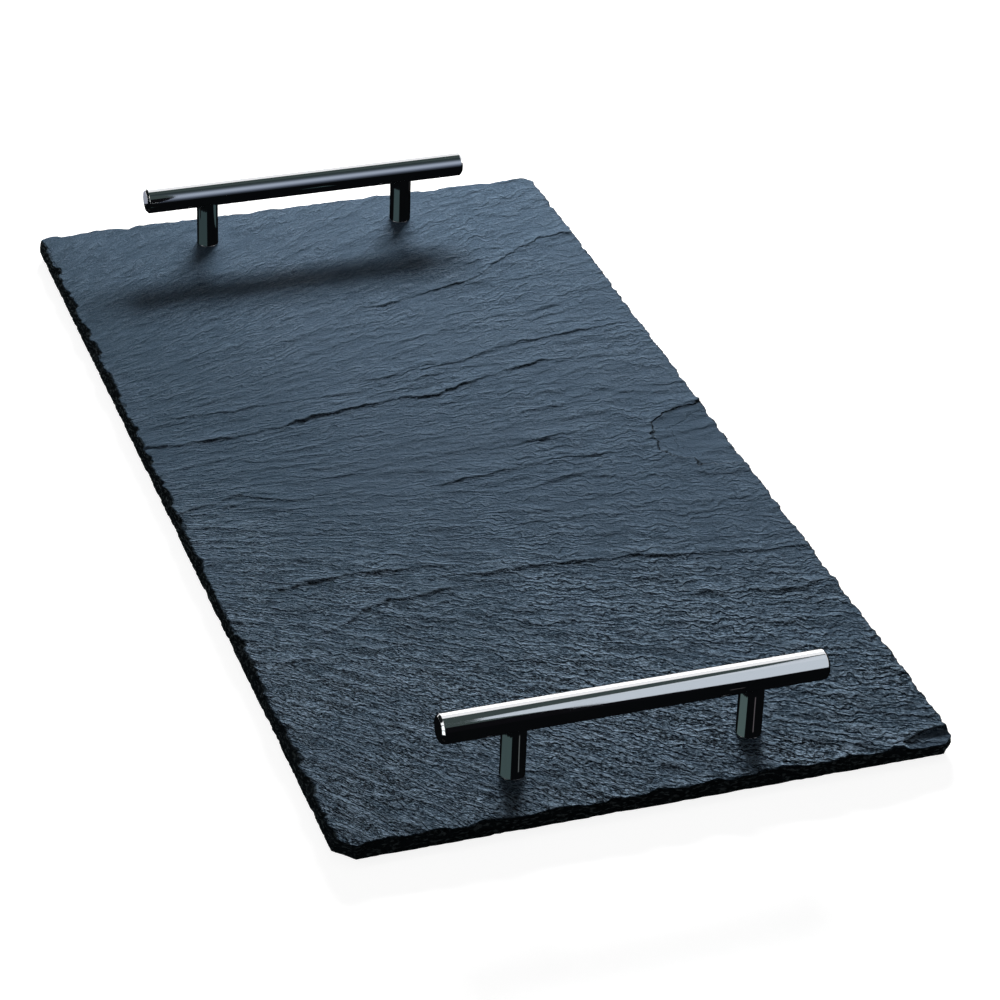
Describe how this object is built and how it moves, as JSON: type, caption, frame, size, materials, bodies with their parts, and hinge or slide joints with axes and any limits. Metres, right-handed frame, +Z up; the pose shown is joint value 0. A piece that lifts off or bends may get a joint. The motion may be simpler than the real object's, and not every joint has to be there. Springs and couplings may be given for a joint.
{
  "type": "slate serving board",
  "caption": "Rectangular riven slate serving board with dressed edges, a round bar handle on two posts at each end, screws from below and round feet under the corners.",
  "frame": {"origin": "on the table under the middle of the slate: the middle of the object's footprint, level with the undersides of the feet", "axes": "+X across the board along the handle bars, +Y along the board to the rear handle, +Z up"},
  "size_m": [0.25, 0.5, 0.0415],
  "materials": {
    "slate": "riven, matte",
    "chrome": "polished",
    "zinc_steel": "bright zinc",
    "foot_rubber": "matte"
  },
  "bodies": {
    "root": {"slate": "slate", "front_handle_bar": "chrome", "rear_handle_bar": "chrome", "front_left_post": "chrome", "front_right_post": "chrome", "rear_left_post": "chrome", "rear_right_post": "chrome", "front_left_post_stud": "zinc_steel", "front_right_post_stud": "zinc_steel", "rear_left_post_stud": "zinc_steel", "rear_right_post_stud": "zinc_steel", "front_left_screw": "zinc_steel", "front_right_screw": "zinc_steel", "rear_left_screw": "zinc_steel", "rear_right_screw": "zinc_steel", "front_left_washer": "zinc_steel", "front_right_washer": "zinc_steel", "rear_left_washer": "zinc_steel", "rear_right_washer": "zinc_steel", "front_left_foot": "foot_rubber", "front_right_foot": "foot_rubber", "rear_left_foot": "foot_rubber", "rear_right_foot": "foot_rubber"}
  },
  "joints": []
}
